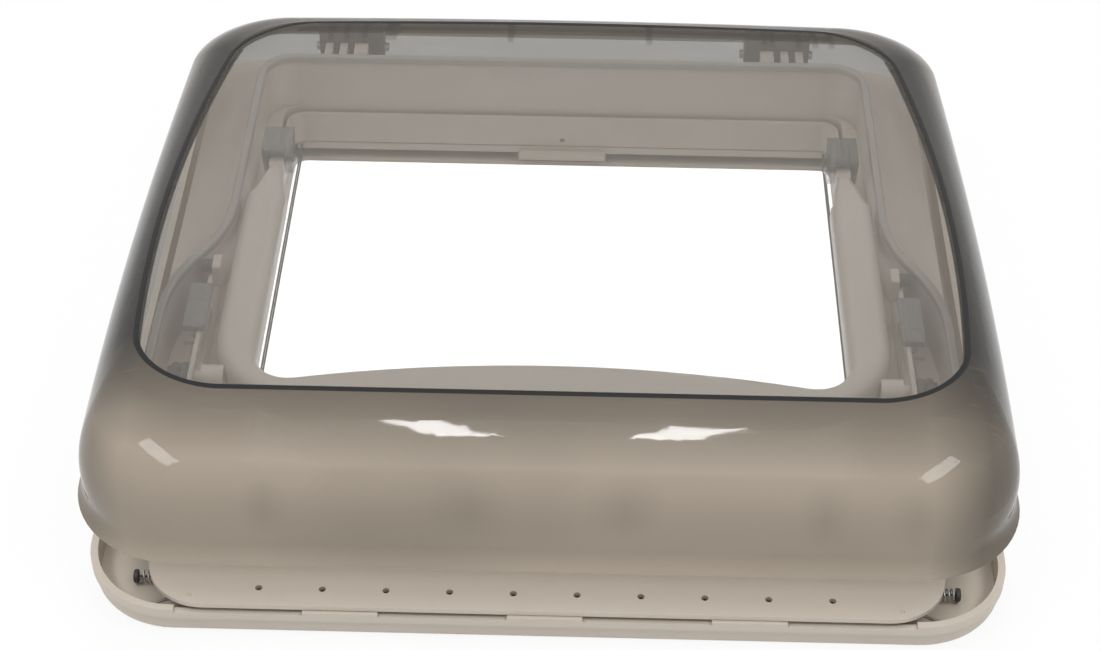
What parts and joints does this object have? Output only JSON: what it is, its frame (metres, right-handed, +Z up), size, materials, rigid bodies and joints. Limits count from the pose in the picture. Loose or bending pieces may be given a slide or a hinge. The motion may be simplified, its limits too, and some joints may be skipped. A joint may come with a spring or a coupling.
{
  "type": "caravan roof vent",
  "caption": "Square roof vent with a tinted double-skin dome on a rear hinge, a U-shaped bow that props it open, a roof flange, and an interior frame with pleated blind and flyscreen.",
  "frame": {"origin": "middle of the underside of the interior frame", "axes": "+X to the right seen from the front, +Y to the hinge, +Z up through the roof"},
  "size_m": [0.522, 0.515, 0.1285],
  "materials": {
    "beige_plastic": "satin",
    "grey_plastic": "satin",
    "blind_fabric": "woven",
    "screen_mesh": "mesh",
    "cord": "braided",
    "frame_plastic": "satin",
    "seal_rubber": "matt",
    "tinted_acrylic": "polished, smoked",
    "clear_acrylic": "polished",
    "black_bond": "satin",
    "dark_plastic": "satin",
    "bow_plastic": "satin",
    "button_plastic": "satin",
    "guide_plastic": "satin",
    "clear_plastic": "polished",
    "stop_plastic": "satin",
    "spring_steel": "drawn wire",
    "screw_steel": "turned"
  },
  "bodies": {
    "interior_frame": {"interior_frame": "beige_plastic", "cord_stop_front_left": "stop_plastic", "cord_spring_front_left": "spring_steel", "cord_stop_front_right": "stop_plastic", "cord_spring_front_right": "spring_steel", "cord_stop_rear_left": "stop_plastic", "cord_spring_rear_left": "spring_steel", "cord_stop_rear_right": "stop_plastic", "cord_spring_rear_right": "spring_steel", "wire_clip_left": "spring_steel", "wire_clip_right": "spring_steel", "blind_cassette_cover": "grey_plastic", "screen_cassette_cover": "grey_plastic", "blind_pleats": "blind_fabric", "screen_pleats": "screen_mesh", "blind_cords": "cord", "screen_cords": "cord"},
    "blind_rail": {"blind_rail": "beige_plastic"},
    "screen_rail": {"screen_rail": "beige_plastic"},
    "outer_frame": {"outer_frame": "frame_plastic", "dome_seal": "seal_rubber", "rear_buffers": "seal_rubber", "guide_screws": "screw_steel", "hinge_pin_left": "screw_steel", "hinge_pin_right": "screw_steel", "guide_plate_left": "guide_plastic", "guide_plate_right": "guide_plastic", "notch_latch_left": "clear_plastic", "notch_latch_right": "clear_plastic", "stop_block_left": "guide_plastic", "stop_block_right": "guide_plastic", "stop_knob_left": "dark_plastic", "stop_knob_right": "dark_plastic"},
    "dome": {"dome_outer": "tinted_acrylic", "dome_inner": "clear_acrylic", "bond_seam": "black_bond", "hinge_arm_left": "dark_plastic", "hinge_arm_right": "dark_plastic", "pivot_bracket_left": "clear_plastic", "pivot_bracket_right": "clear_plastic", "pivot_pin_left": "screw_steel", "pivot_pin_right": "screw_steel"},
    "bow": {"bow": "bow_plastic", "button_spring": "spring_steel", "roller_left": "dark_plastic", "roller_right": "dark_plastic", "stub_cap_left": "dark_plastic", "stub_cap_right": "dark_plastic"},
    "release_button": {"release_button": "button_plastic"}
  },
  "joints": [
    {"name": "roof_gap", "type": "slide", "parent": "interior_frame", "child": "outer_frame", "axis": [0, 0, 1], "range_m": [0, 0.03]},
    {"name": "dome_hinge", "type": "hinge", "parent": "outer_frame", "child": "dome", "pos_m": [0, 0.225, 0.07], "axis": [-1, 0, 0], "range_deg": [0, 45]},
    {"name": "bow_hinge", "type": "hinge", "parent": "dome", "child": "bow", "pos_m": [0, 0.095, 0.068], "axis": [1, 0, 0], "range_deg": [0, 73.5]},
    {"name": "button_press", "type": "slide", "parent": "bow", "child": "release_button", "axis": [0, 0, 1], "range_m": [0, 0.004], "stiffness_N_per_m": 200, "springref_m": -0.002, "deforming": ["button_spring"]},
    {"name": "blind_slide", "type": "slide", "parent": "interior_frame", "child": "blind_rail", "axis": [0, 1, 0], "range_m": [0, 0.36]},
    {"name": "screen_slide", "type": "slide", "parent": "interior_frame", "child": "screen_rail", "axis": [0, -1, 0], "range_m": [0, 0.36]}
  ],
  "couplings": [
    {"joint": "bow_hinge", "follows": "dome_hinge", "ratio": 1.63}
  ]
}
